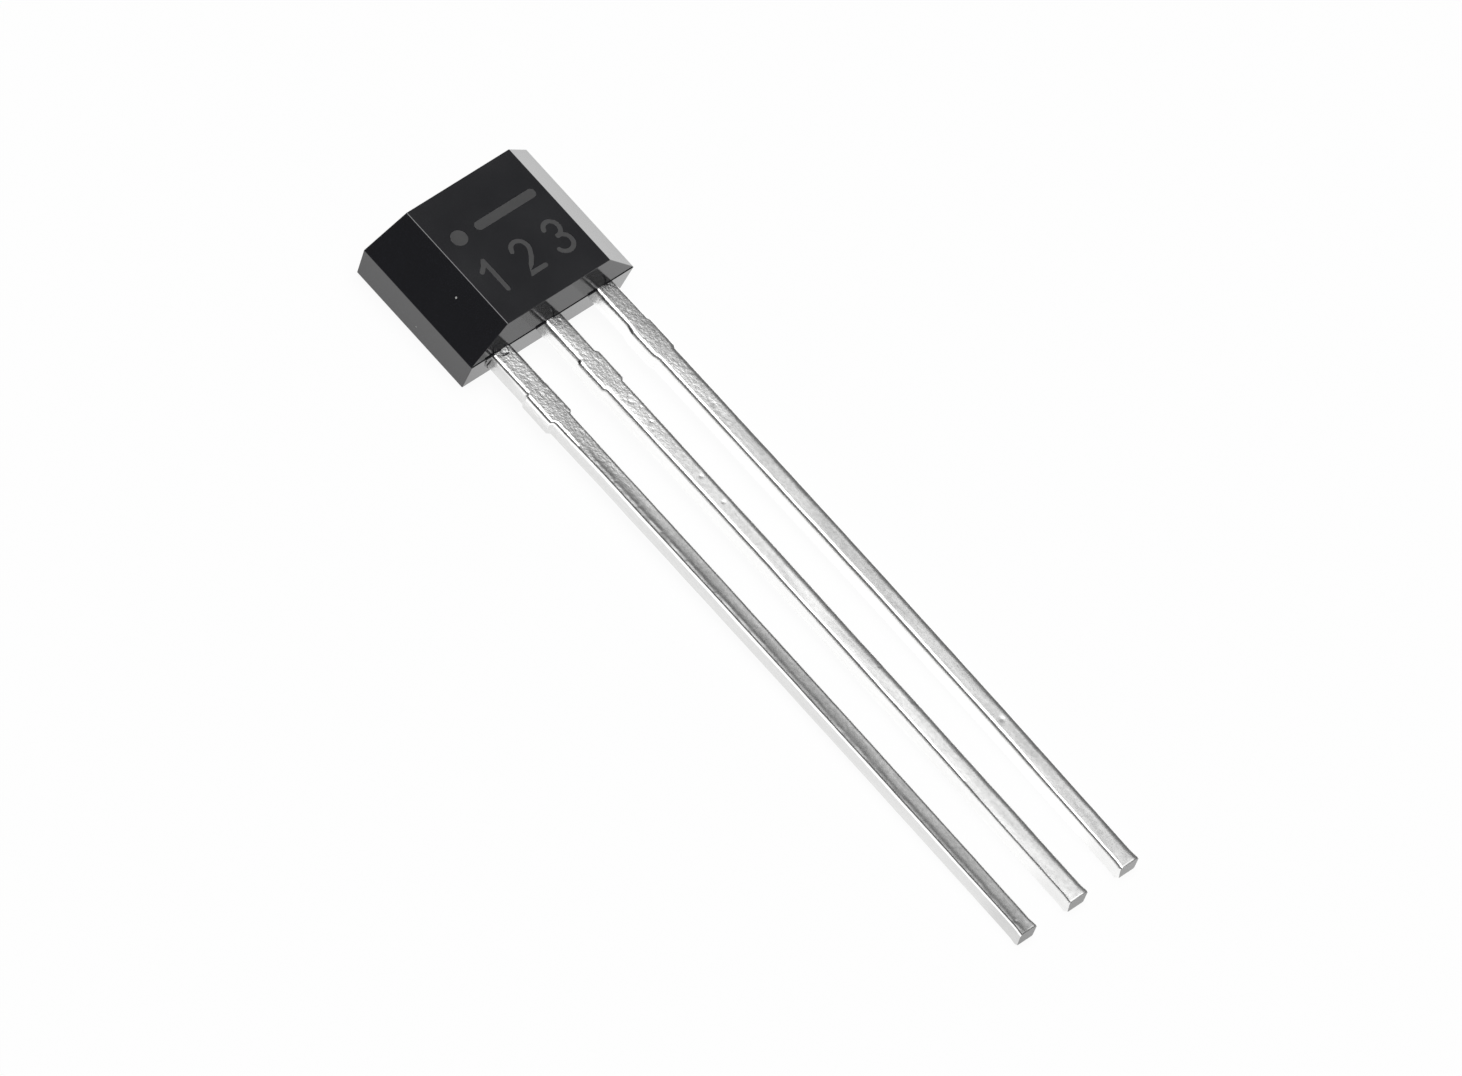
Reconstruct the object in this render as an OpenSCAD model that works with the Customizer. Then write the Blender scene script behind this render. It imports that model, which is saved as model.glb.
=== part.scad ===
// Flat three-lead Hall effect sensor: an epoxy package moulded round a stamped lead frame.
// X runs across the leads, the leads point along -Y and the marked face looks along +Z.
// The origin is the middle of the package's back. The leads outweigh the package, so the
// loose sensor lies on its back and leans about the package's lower edge until its lead
// tips touch the ground, at Z = 0. The modules below are drawn level, with Y = 0 where
// the leads leave the package, and as_it_lies() puts them in their place.

/* [Package] */
// Width across the parting plane
body_w = 4.03; // [3.9:0.01:4.1]
// Width of the marked face, between the two side bevels
face_w = 2.54; // [2.3:0.01:2.68]
// Length along the leads
body_l = 3.05; // [2.95:0.01:3.2]
// Thickness from the back to the marked face
body_t = 1.52; // [1.42:0.01:1.62]
// Height of the parting plane, level with the top of the lead frame
parting_z = 0.76; // [0.66:0.01:0.8]
// Step on the lead side where the front half of the mould is shorter than the back half
mould_step = 0.04; // [0.02:0.01:0.08]
// Diameter of the mark that the ejector pin leaves in the back
pin_mark_d = 1.2; // [0.8:0.1:1.6]

/* [Leads] */
// Distance from one lead to the next
lead_pitch = 1.27; // [1.22:0.01:1.32]
// Width of a lead
lead_w = 0.38; // [0.35:0.01:0.41]
// Thickness of the lead frame
lead_t = 0.38; // [0.34:0.01:0.42]
// Length of the leads outside the package
lead_reach = 14.7; // [13.5:0.05:15.5]
// Width over the stubs that the cut dambar leaves
stub_w = 0.48; // [0.45:0.01:0.51]

/* [Sensing element] */
// Width and length of the silicon die
die_size = [1.0, 1.1]; // [0.8:0.05:1.1]
// Thickness of the die
die_t = 0.24; // [0.18:0.01:0.28]
// Distance of the die's centre from the lead side of the package
die_y = 1.45; // [1.4:0.01:1.5]

/* [Rest] */
// Lean onto the lead tips, as the loose sensor lies, or keep the marked face level
lying = true; // [true, false]

/* [Hidden] */
$fn = 48;

// Draft of the two mould halves: how far each wall leans in between the parting plane and its face
back_draft_lead_side = 0.065;
back_draft_sides = 0.04;
back_draft_far = 0.01;
front_draft_lead_side = 0.05;
front_draft_far = 0.1;
pin_mark_depth = 0.05;
gate_w = 0.8;
gate_h = 0.24;
gate_proud = 0.04;

// Lead frame
frame_bottom = parting_z - lead_t;
edge_break = 0.035;
neck_w = lead_w + 0.03;
stub_start = 1;
stub_end = 1.7;
root_y = 0.2;
root_w = stub_w;
tip_l = 0.28;
tip_flare = 0.02;
tip_roll = 0.03;
lap = 0.04;

// Each lead leaves at a slight angle and bows back, in degrees and mm
exit_heading = [0.36, 0.19, 0.54];
bow_radius = [1040, 1190, 580];

// Bonding posts of the outer leads, and the paddle that carries the die
post_w = 0.62;
post_shift = 0.02;
post_start = 0.45;
post_end = 1.75;
lock_hole_r = 0.13;
lock_hole_y = 0.72;
paddle_w = 1.4;
paddle_start = 0.55;
paddle_end = 2.35;
tie_bar_w = 0.4;
tie_bar_proud = 0.02;

// Die, its adhesive and the gold wires
attach_t = 0.02;
attach_margin = 0.03;
die_bottom = parting_z + attach_t;
die_top = die_bottom + die_t;
wire_r = 0.015;
ball_r = 0.04;
ball_h = 0.025;
stitch_r = 0.045;
stitch_h = 0.02;
loop_rise = 0.05;
loop_r = 0.09;
side_pad = [0.32, 1.3];
side_fall = 28;
ground_pad_y = 1.08;
ground_fall = 58;

// How far the whole sensor leans, about the lower edge of the package's lead side
foot_y = back_draft_lead_side;
back_middle_y = (foot_y + body_l - back_draft_far) / 2;
lean = lying ? atan2(frame_bottom, lead_reach + foot_y) : 0;

module as_it_lies() {
    translate([0, foot_y - back_middle_y, 0])
        rotate([lean, 0, 0])
            translate([0, -foot_y, 0])
                children();
}

// ---- Package ----

// A drafted block: one outline seen along Y and one seen along X, each a list of points
module drafted_block(across, along) {
    intersection() {
        translate([0, body_l + 1, 0])
            rotate([90, 0, 0])
                linear_extrude(body_l + 2)
                    polygon(across);
        translate([-body_w, 0, 0])
            rotate([90, 0, 90])
                linear_extrude(2 * body_w)
                    polygon(along);
    }
}

module front_half() {
    side = body_w / 2;
    face = face_w / 2;
    near = mould_step;
    drafted_block(
        [[-side, parting_z], [side, parting_z], [face, body_t], [-face, body_t]],
        [[near, parting_z], [body_l, parting_z],
         [body_l - front_draft_far, body_t], [near + front_draft_lead_side, body_t]]);
}

module back_half() {
    side = body_w / 2;
    foot = side - back_draft_sides;
    drafted_block(
        [[-foot, 0], [foot, 0], [side, parting_z], [-side, parting_z]],
        [[foot_y, 0], [body_l - back_draft_far, 0],
         [body_l, parting_z], [0, parting_z]]);
}

// The scar where the resin entered, round the end of the tie bar
module gate_scar() {
    translate([-gate_w / 2, body_l - gate_proud, parting_z - gate_h / 2])
        cube([gate_w, 2 * gate_proud, gate_h]);
}

module pin_mark() {
    translate([0, body_l / 2, -1])
        cylinder(d = pin_mark_d, h = 1 + pin_mark_depth);
}

module moulded_body() {
    color("#26272b")
        as_it_lies()
            difference() {
                union() {
                    front_half();
                    back_half();
                    gate_scar();
                }
                pin_mark();
                outer_lead_shape(0);
                ground_lead_shape();
                outer_lead_shape(2);
                die_attach_shape();
                sensor_die_shape();
                side_wire_shape(-1);
                ground_wire_shape();
                side_wire_shape(1);
            }
}

// ---- Leads ----

function lead_x(i) = (i - 1) * lead_pitch;

// The stamped section, with its edges broken by the tin plating
module lead_section(w) {
    x = w / 2;
    z = lead_t / 2;
    b = edge_break;
    polygon([[-x, -z + b], [-x + b, -z], [x - b, -z], [x, -z + b],
             [x, z - b], [x - b, z], [-x + b, z], [-x, z - b]]);
}

// Moves its child to the point at distance s along lead i, facing along the lead
module at_distance(i, s) {
    translate([lead_x(i), 0, frame_bottom + lead_t / 2])
        rotate(exit_heading[i])
            translate([-bow_radius[i], 0, 0])
                rotate(-s / bow_radius[i] * 180 / PI)
                    translate([bow_radius[i], 0, 0])
                        children();
}

// One stretch of lead i, from distance s0 to s1, of width w
module stretch(i, s0, s1, w) {
    at_distance(i, s1)
        translate([-bow_radius[i], 0, 0])
            rotate_extrude(angle = (s1 - s0) / bow_radius[i] * 180 / PI, $fn = 360)
                translate([bow_radius[i], 0])
                    lead_section(w);
}

// The sheared tip: it spreads a little and its top edge is rolled over by the cut
module tip(i) {
    x = lead_w / 2;
    z = lead_t / 2;
    at_distance(i, lead_reach - tip_l)
        intersection() {
            translate([0, 0, -z])
                linear_extrude(lead_t)
                    polygon([[-x + edge_break, 0], [-x, -tip_l / 4],
                             [-x - tip_flare, -tip_l * 0.7], [-x - tip_flare, -tip_l],
                             [x + tip_flare, -tip_l], [x + tip_flare, -tip_l * 0.7],
                             [x, -tip_l / 4], [x - edge_break, 0]]);
            translate([-1, 0, 0])
                rotate([90, 0, 90])
                    linear_extrude(2)
                        polygon([[0, -z], [-tip_l, -z], [-tip_l, z - tip_roll],
                                 [-tip_l * 0.8, z - tip_roll / 3], [-tip_l / 2, z], [0, z]]);
        }
}

// The free part of lead i, from its root inside the package to its tip
module free_lead(i) {
    stretch(i, -root_y - lap, lead_reach - tip_l + lap, lead_w);
    stretch(i, -root_y - lap, stub_start + lap, neck_w);
    stretch(i, stub_start, stub_end, stub_w);
    tip(i);
}

module frame_plate(low, high) {
    translate([low[0], low[1], frame_bottom])
        cube([high[0] - low[0], high[1] - low[1], lead_t]);
}

module lock_hole(x) {
    translate([x, lock_hole_y, frame_bottom - 1])
        cylinder(r = lock_hole_r, h = lead_t + 2);
}

// An outer lead and the bonding post that it widens into
module outer_lead_shape(i) {
    out = i - 1;
    x = lead_x(i);
    post_x = x + out * post_shift;
    free_lead(i);
    difference() {
        union() {
            frame_plate([x - root_w / 2, root_y], [x + root_w / 2, post_start]);
            frame_plate([post_x - post_w / 2, post_start], [post_x + post_w / 2, post_end]);
        }
        lock_hole(post_x);
    }
}

// The middle lead, its paddle and the tie bar that held the paddle to the strip
module ground_lead_shape() {
    free_lead(1);
    frame_plate([-root_w / 2, root_y], [root_w / 2, paddle_start]);
    frame_plate([-paddle_w / 2, paddle_start], [paddle_w / 2, paddle_end]);
    frame_plate([-tie_bar_w / 2, paddle_end],
                [tie_bar_w / 2, body_l + gate_proud + tie_bar_proud]);
}

module supply_lead() {
    color("#c9c9c8") as_it_lies() outer_lead_shape(0);
}

module ground_lead() {
    color("#c9c9c8") as_it_lies() ground_lead_shape();
}

module output_lead() {
    color("#c9c9c8") as_it_lies() outer_lead_shape(2);
}

// ---- Die and wires ----

module slab(size, bottom, thickness) {
    translate([-size[0] / 2, die_y - size[1] / 2, bottom])
        cube([size[0], size[1], thickness]);
}

module die_attach_shape() {
    slab([for (s = die_size) s + 2 * attach_margin], parting_z, attach_t);
}

module sensor_die_shape() {
    slab(die_size, die_bottom, die_t);
}

// A gold wire in the XZ plane: a ball on the die, a rise, a bend and a straight run that
// falls at the given angle to its stitch on the lead frame
module bond_wire(fall) {
    bend_z = die_top + ball_h + loop_rise;
    end_z = parting_z + (stitch_h + wire_r) / 2;
    run = (bend_z + loop_r * cos(fall) - end_z) / sin(fall);
    span = loop_r * (1 + sin(fall)) + run * cos(fall);
    translate([0, 0, die_top])
        cylinder(r = ball_r, h = ball_h);
    translate([0, 0, die_top + ball_h / 2])
        cylinder(r = wire_r, h = ball_h / 2 + loop_rise);
    translate([loop_r, 0, bend_z])
        rotate([90, 0, 0])
            rotate(90 - fall) {
                rotate_extrude(angle = 90 + fall)
                    translate([loop_r, 0])
                        circle(wire_r);
                translate([loop_r, 0, 0])
                    rotate([90, 0, 0])
                        cylinder(r = wire_r, h = run);
            }
    translate([span, 0, parting_z])
        cylinder(r = stitch_r, h = stitch_h);
}

// A wire from the die to one of the outer leads' posts
module side_wire_shape(side) {
    translate([side * side_pad[0], side_pad[1], 0])
        rotate(side < 0 ? 180 : 0)
            bond_wire(side_fall);
}

// A short wire from the die down to its own paddle
module ground_wire_shape() {
    translate([0, ground_pad_y, 0])
        rotate(-90)
            bond_wire(ground_fall);
}

module die_attach() {
    color("#9a9a96") as_it_lies() die_attach_shape();
}

module sensor_die() {
    color("#5a5f73") as_it_lies() sensor_die_shape();
}

module supply_wire() {
    color("#e0b040") as_it_lies() side_wire_shape(-1);
}

module ground_wire() {
    color("#e0b040") as_it_lies() ground_wire_shape();
}

module output_wire() {
    color("#e0b040") as_it_lies() side_wire_shape(1);
}

moulded_body();
supply_lead();
ground_lead();
output_lead();
die_attach();
sensor_die();
supply_wire();
ground_wire();
output_wire();
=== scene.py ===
import math

import bmesh
import bpy
from bpy.props import BoolProperty, FloatProperty, FloatVectorProperty, PointerProperty
from mathutils import Matrix, Vector, noise
from mathutils.geometry import delaunay_2d_cdt


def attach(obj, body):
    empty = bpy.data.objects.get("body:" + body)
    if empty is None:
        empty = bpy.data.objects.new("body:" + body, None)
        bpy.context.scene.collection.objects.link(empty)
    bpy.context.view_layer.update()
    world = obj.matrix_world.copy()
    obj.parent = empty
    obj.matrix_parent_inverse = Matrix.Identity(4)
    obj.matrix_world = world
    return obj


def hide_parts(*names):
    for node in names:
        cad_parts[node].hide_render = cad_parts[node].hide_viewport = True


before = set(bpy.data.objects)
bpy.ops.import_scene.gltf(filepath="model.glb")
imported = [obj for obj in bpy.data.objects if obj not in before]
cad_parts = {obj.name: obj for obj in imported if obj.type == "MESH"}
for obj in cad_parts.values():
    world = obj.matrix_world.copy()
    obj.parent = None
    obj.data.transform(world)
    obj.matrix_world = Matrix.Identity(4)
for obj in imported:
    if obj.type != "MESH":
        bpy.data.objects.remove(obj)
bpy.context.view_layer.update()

bl_info = {
    "name": "Flat three-lead Hall effect sensor",
    "version": (1, 0, 0),
    "blender": (4, 5, 0),
    "location": "3D View > Sidebar > Hall sensor",
    "description": "Builds the moulded package, its three stamped leads and a plain studio stage",
    "category": "Object",
}

MM = 0.001

# ---- Sizes that only the moulding and the stamping share, in mm ----

FOOT_Y = 0.065
BACK_DRAFT_SIDES = 0.04
BACK_DRAFT_FAR = 0.01
FRONT_DRAFT_LEAD_SIDE = 0.05
FRONT_DRAFT_FAR = 0.1
GATE_SIZE = (0.8, 0.24)
GATE_PROUD = 0.04
TIE_BAR_W = 0.4
TIE_BAR_PROUD = 0.02
STUB_SPAN = (1.0, 1.7)
TIP_L = 0.28
TIP_FLARE = 0.02
TIP_ROLL = 0.03
EXIT_HEADING = (0.36, 0.19, 0.54)
BOW_RADIUS = (1040.0, 1190.0, 580.0)
# The part of the mould step that shows as a ledge once its edge is rounded
LEDGE_SHARE = 0.35
# Margins round the panels that carry the marking and the ejector pin's mark
MARKED_MARGIN = 0.07
REAR_MARGIN = 0.3
MARKING_DEPTH = 0.004
PIN_MARK_DEPTH = 0.05
STROKE_WIDTH = 0.095

# ---- Stage, in metres and degrees ----

FLOOR_RADIUS = 0.6
FLOOR_DROP = 0.000002
CAMERA_PLACE_MM = (-167.821, -105.604, 268.803)
CAMERA_AIM_MM = (-0.288, -6.931, 0.5)
CAMERA_ROLL = 21.31
CAMERA_LENS = 450.68


def length(name, description, millimetres):
    """A length property whose default is given in millimetres."""
    return FloatProperty(name=name, description=description, default=millimetres * MM,
                         min=0.0, unit='LENGTH', subtype='DISTANCE', precision=5)


def colour(name, description, value):
    return FloatVectorProperty(name=name, description=description, default=value, size=3,
                               min=0.0, max=1.0, subtype='COLOR')


class PackageSizes(bpy.types.PropertyGroup):
    width: length("Width", "Width of the package across its parting plane", 4.03)
    face_width: length("Face width", "Width of the marked face between the side bevels", 2.54)
    long: length("Length", "Length of the package along the leads", 3.05)
    thick: length("Thickness", "Thickness from the back to the marked face", 1.52)
    parting: length("Parting height", "Height of the plane where the mould halves met", 0.76)
    step: length("Mould step", "Ledge on the lead side at the parting plane", 0.04)
    pin_mark: length("Pin mark", "Diameter of the ejector pin's mark in the back", 1.2)
    edge: length("Edge radius", "Radius of the package's moulded edges", 0.022)
    numeral: length("Numeral height", "Height of the pin numbers on the marked face", 0.79)


class LeadSizes(bpy.types.PropertyGroup):
    pitch: length("Pitch", "Distance from one lead to the next", 1.27)
    width: length("Width", "Width of a lead", 0.38)
    thick: length("Thickness", "Thickness of the lead frame", 0.38)
    reach: length("Reach", "Length of the leads outside the package", 14.7)
    ripple: length("Ripple", "Height of the plating's ripples", 0.0015)


class Finishes(bpy.types.PropertyGroup):
    resin: colour("Resin", "Colour of the moulding compound", (0.006, 0.0063, 0.0085))
    marking: colour("Marking", "Colour of the lasered marking", (0.047, 0.047, 0.048))
    tin: colour("Tin", "Colour of the tin plating", (0.95, 0.95, 0.945))
    silicon: colour("Silicon", "Colour of the die", (0.11, 0.12, 0.17))
    adhesive: colour("Adhesive", "Colour of the die's adhesive", (0.33, 0.33, 0.31))
    gold: colour("Gold", "Colour of the bond wires", (0.83, 0.58, 0.21))


class StageSettings(bpy.types.PropertyGroup):
    floor: colour("Floor", "Colour of the floor", (0.93, 0.93, 0.93))
    glow: FloatProperty(name="Ceiling glow", description="Brightness of the soft light overhead",
                        default=4.8, min=0.0)
    room: FloatProperty(name="Room", description="Brightness of the room at mid height",
                        default=0.115, min=0.0)
    use_lean: BoolProperty(name="Lean", description="Lay the sensor on its lead tips",
                           default=True)


# ---- Placing ----

def millimetres(group):
    """The group's lengths in millimetres, as a plain dictionary."""
    return {key: getattr(group, key) / MM for key in group.__annotations__}


def row_matrix():
    """From the level drawing in mm, with Y = 0 where the leads leave, to the row frame."""
    package = millimetres(bpy.context.scene.sensor_package)
    leads = millimetres(bpy.context.scene.sensor_leads)
    back_middle = (FOOT_Y + package["long"] - BACK_DRAFT_FAR) / 2
    lean = math.atan2(package["parting"] - leads["thick"], leads["reach"] + FOOT_Y)
    if not bpy.context.scene.sensor_stage.use_lean:
        lean = 0.0
    return (Matrix.Scale(MM, 4)
            @ Matrix.Translation((0, FOOT_Y - back_middle, 0))
            @ Matrix.Rotation(lean, 4, 'X')
            @ Matrix.Translation((0, -FOOT_Y, 0)))


def add_piece(name, mesh, slot, materials, *nodes):
    """Puts a level mesh drawn in mm in its place as a piece that stands for CAD nodes."""
    mesh.transform(row_matrix())
    piece = bpy.data.objects.new(name, mesh)
    bpy.context.scene.collection.objects.link(piece)
    for material in materials:
        mesh.materials.append(material)
    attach(piece, "root")
    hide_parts(*nodes)
    return piece


def softened(bm, name, width, segments):
    """The mesh of bm after a bevel by edge weight."""
    mesh = bpy.data.meshes.new(name + "_drawn")
    bm.to_mesh(mesh)
    bm.free()
    drawn = bpy.data.objects.new(name + "_drawn", mesh)
    bpy.context.scene.collection.objects.link(drawn)
    bevel = drawn.modifiers.new("edges", 'BEVEL')
    bevel.width = width
    bevel.segments = segments
    bevel.limit_method = 'WEIGHT'
    bevel.miter_outer = 'MITER_ARC'
    bpy.context.view_layer.update()
    graph = bpy.context.evaluated_depsgraph_get()
    result = bpy.data.meshes.new_from_object(drawn.evaluated_get(graph))
    result.name = name
    bpy.data.objects.remove(drawn)
    bpy.data.meshes.remove(mesh)
    return result


def flat_faces_first(mesh):
    """The mesh with normals weighted by area, so large faces stay flat beside round edges."""
    drawn = bpy.data.objects.new(mesh.name + "_drawn", mesh)
    bpy.context.scene.collection.objects.link(drawn)
    weighted = drawn.modifiers.new("normals", 'WEIGHTED_NORMAL')
    weighted.weight = 100
    weighted.keep_sharp = True
    bpy.context.view_layer.update()
    graph = bpy.context.evaluated_depsgraph_get()
    result = bpy.data.meshes.new_from_object(drawn.evaluated_get(graph))
    bpy.data.objects.remove(drawn)
    name = mesh.name
    bpy.data.meshes.remove(mesh)
    result.name = name
    return result


def shade(mesh, degrees):
    mesh.polygons.foreach_set("use_smooth", [True] * len(mesh.polygons))
    mesh.set_sharp_from_angle(angle=math.radians(degrees))


# ---- Marking ----

def ribbon(points, width):
    """The outline of a stroke of even width along a path, with round ends."""
    half = width / 2
    pts = [Vector(p) for p in points]
    left, right = [], []
    for k, p in enumerate(pts):
        before = pts[k - 1] if k else p
        after = pts[k + 1] if k + 1 < len(pts) else p
        along = (after - before).normalized()
        side = Vector((-along.y, along.x))
        first, second = (p - before), (after - p)
        stretch = 1.0
        if first.length and second.length:
            turn = first.normalized().dot(second.normalized())
            stretch = 1 / max(0.72, math.sqrt((1 + turn) / 2))
        left.append(p + side * half * stretch)
        right.append(p - side * half * stretch)
    cap = []
    for centre, start in ((pts[-1], left[-1]), (pts[0], right[0])):
        base = math.atan2(start.y - centre.y, start.x - centre.x)
        cap.append([centre + half * Vector((math.cos(base - math.pi * k / 8),
                                            math.sin(base - math.pi * k / 8)))
                    for k in range(1, 8)])
    return left + cap[0] + right[::-1] + cap[1]


def arc(centre, radii, start, end, count):
    """Points on an ellipse between two angles in degrees."""
    steps = [math.radians(start + (end - start) * k / count) for k in range(count + 1)]
    return [(centre[0] + radii[0] * math.cos(a), centre[1] + radii[1] * math.sin(a))
            for a in steps]


def numeral_strokes(digit):
    """The centre lines of a plain numeral, in a box one high and about half as wide."""
    if digit == 1:
        return [[(-0.17, 0.72), (-0.04, 0.82), (0.06, 0.95)], [(0.06, 0.95), (0.06, 0.05)]]
    if digit == 2:
        return [arc((0.0, 0.7), (0.22, 0.24), 165, -25, 14)
                + [(0.1, 0.42), (-0.06, 0.25), (-0.22, 0.06), (0.23, 0.06)]]
    return [arc((-0.01, 0.72), (0.2, 0.22), 160, -90, 14),
            arc((-0.01, 0.28), (0.23, 0.23), 90, -160, 16)]


def marking_outlines(package):
    """Outlines of the marking on the level face: a dot, a bar and the pin numbers."""
    size = package["numeral"]
    outlines = [arc((-0.8, 1.995), (0.17, 0.17), 0, 345, 23),
                arc((0.98, 1.995), (0.1, 0.1), -90, 90, 8)
                + arc((-0.3, 1.995), (0.1, 0.1), 90, 270, 8)]
    for digit in (1, 2, 3):
        middle = (digit - 2) * 0.8
        for path in numeral_strokes(digit):
            placed = [(middle + x * size, 0.625 + y * size) for x, y in path]
            outlines.append([(p.x, p.y) for p in ribbon(placed, STROKE_WIDTH)])
    return outlines


# ---- Package ----

def panel(bm, corners, z, outlines, material, holes_depth):
    """A flat face with closed outlines set in it. The faces inside them get their own
    material and are sunk by holes_depth, with a wall round each."""
    points = [Vector(c[:2]) for c in corners]
    edges = [(k, (k + 1) % len(points)) for k in range(len(points))]
    for loop in outlines:
        first = len(points)
        points += [Vector(p) for p in loop]
        edges += [(first + k, first + (k + 1) % len(loop)) for k in range(len(loop))]
    flat, _, triangles, _, _, _ = delaunay_2d_cdt(points, edges, [], 1, 1e-5)

    def inside(p, loop):
        hits = 0
        for k in range(len(loop)):
            a, b = loop[k - 1], loop[k]
            if (a[1] > p.y) != (b[1] > p.y):
                if p.x < a[0] + (p.y - a[1]) / (b[1] - a[1]) * (b[0] - a[0]):
                    hits += 1
        return hits % 2 == 1

    verts = {}
    sunk = []
    for triangle in triangles:
        centre = sum((flat[k] for k in triangle), Vector((0, 0))) / 3
        if not inside(centre, [tuple(c[:2]) for c in corners]):
            continue
        ring = []
        for k in triangle:
            if k not in verts:
                near = [v for v in corners if (Vector(v[:2]) - flat[k]).length < 1e-6]
                verts[k] = near[0][2] if near else bm.verts.new((flat[k].x, flat[k].y, z))
            ring.append(verts[k])
        face = bm.faces.new(ring)
        if any(inside(centre, loop) for loop in outlines):
            face.material_index = material
            sunk.append(face)
    walls = bmesh.ops.extrude_face_region(bm, geom=sunk)
    for v in [g for g in walls["geom"] if isinstance(g, bmesh.types.BMVert)]:
        v.co.z -= holes_depth
    bmesh.ops.delete(bm, geom=sunk, context='FACES')


def package_shell(package):
    """The two drafted mould halves as one closed shell, with its marked face and back."""
    bm = bmesh.new()
    weights = bm.edges.layers.float.new("bevel_weight_edge")
    side, face = package["width"] / 2, package["face_width"] / 2
    foot = side - BACK_DRAFT_SIDES
    far, top, part = package["long"], package["thick"], package["parting"]
    near = package["step"] * LEDGE_SHARE
    rise = package["step"] + FRONT_DRAFT_LEAD_SIDE

    def ring(x, y0, y1, z):
        return [bm.verts.new(p) for p in ((-x, y0, z), (x, y0, z), (x, y1, z), (-x, y1, z))]

    base = ring(foot, FOOT_Y, far - BACK_DRAFT_FAR, 0)
    waist = ring(side, 0, far, part)
    ledge = [bm.verts.new((-side, near, part)), bm.verts.new((side, near, part))]
    crown = ring(face, rise, far - FRONT_DRAFT_FAR, top)
    field = ring(face - MARKED_MARGIN, rise + MARKED_MARGIN,
                 far - FRONT_DRAFT_FAR - MARKED_MARGIN, top)
    rear = ring(foot - REAR_MARGIN, FOOT_Y + REAR_MARGIN, far - BACK_DRAFT_FAR - REAR_MARGIN, 0)
    faces = [
        (base[0], base[1], waist[1], waist[0]),
        (base[1], base[2], waist[2], ledge[1], waist[1]),
        (base[2], base[3], waist[3], waist[2]),
        (base[3], base[0], waist[0], ledge[0], waist[3]),
        (waist[0], waist[1], ledge[1], ledge[0]),
        (ledge[0], ledge[1], crown[1], crown[0]),
        (ledge[1], waist[2], crown[2], crown[1]),
        (waist[2], waist[3], crown[3], crown[2]),
        (waist[3], ledge[0], crown[0], crown[3]),
    ]
    for k in range(4):
        faces.append((crown[k], crown[(k + 1) % 4], field[(k + 1) % 4], field[k]))
        faces.append((base[(k + 1) % 4], base[k], rear[k], rear[(k + 1) % 4]))
    for face_ring in faces:
        bm.faces.new(face_ring)
    corners = [(v.co.x, v.co.y, v) for v in field]
    panel(bm, corners, top, marking_outlines(package), 1, MARKING_DEPTH)
    middle = package["long"] / 2
    mark = arc((0, middle), (package["pin_mark"] / 2,) * 2, 0, 352.5, 47)
    corners = [(v.co.x, v.co.y, v) for v in rear]
    panel(bm, corners, 0, [mark], 0, -PIN_MARK_DEPTH)
    bmesh.ops.recalc_face_normals(bm, faces=bm.faces)

    def weigh(a, b, weight):
        edge = bm.edges.get((a, b))
        edge[weights] = weight

    for k in range(4):
        weigh(base[k], base[(k + 1) % 4], 1.0)
        weigh(crown[k], crown[(k + 1) % 4], 1.0)
        weigh(base[k], waist[k], 1.0)
    weigh(ledge[0], crown[0], 1.0)
    weigh(ledge[1], crown[1], 1.0)
    weigh(waist[2], crown[2], 1.0)
    weigh(waist[3], crown[3], 1.0)
    weigh(waist[0], waist[1], 0.2)
    weigh(waist[2], waist[3], 0.5)
    weigh(waist[0], ledge[0], 0.5)
    weigh(waist[1], ledge[1], 0.5)
    weigh(ledge[0], waist[3], 0.5)
    weigh(ledge[1], waist[2], 0.5)
    return bm


def gate_scar(bm, package):
    """The broken stub of resin round the end of the tie bar."""
    half_w, half_h = GATE_SIZE[0] / 2, GATE_SIZE[1] / 2
    z, y = package["parting"], package["long"]
    across, up = 24, 8
    rows = []
    for j in range(up + 1):
        row = []
        for i in range(across + 1):
            u, v = 2 * i / across - 1, 2 * j / up - 1
            rim = max(abs(u) ** 6, abs(v) ** 4)
            rough = 0.5 + 0.5 * noise.noise(Vector((u * 5.0, v * 2.2, 1.7)))
            depth = GATE_PROUD - 0.016 * rough - 0.008 * rim
            row.append(bm.verts.new((u * half_w, y + depth, z + v * half_h)))
        rows.append(row)
    for j in range(up):
        for i in range(across):
            bm.faces.new((rows[j][i + 1], rows[j][i], rows[j + 1][i], rows[j + 1][i + 1]))
    rim = (rows[0] + [row[-1] for row in rows[1:]] + rows[-1][-2::-1]
           + [row[0] for row in rows[-2:0:-1]])
    root = [bm.verts.new((v.co.x, y - GATE_PROUD, v.co.z)) for v in rim]
    for k in range(len(rim)):
        nxt = (k + 1) % len(rim)
        bm.faces.new((rim[k], rim[nxt], root[nxt], root[k]))
    bm.faces.new(root[::-1])


# Width and drop of the flake of flash at each lead
FLAKES = ((0.10, 0.15), (0.11, 0.13), (0.09, 0.16))


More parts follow.
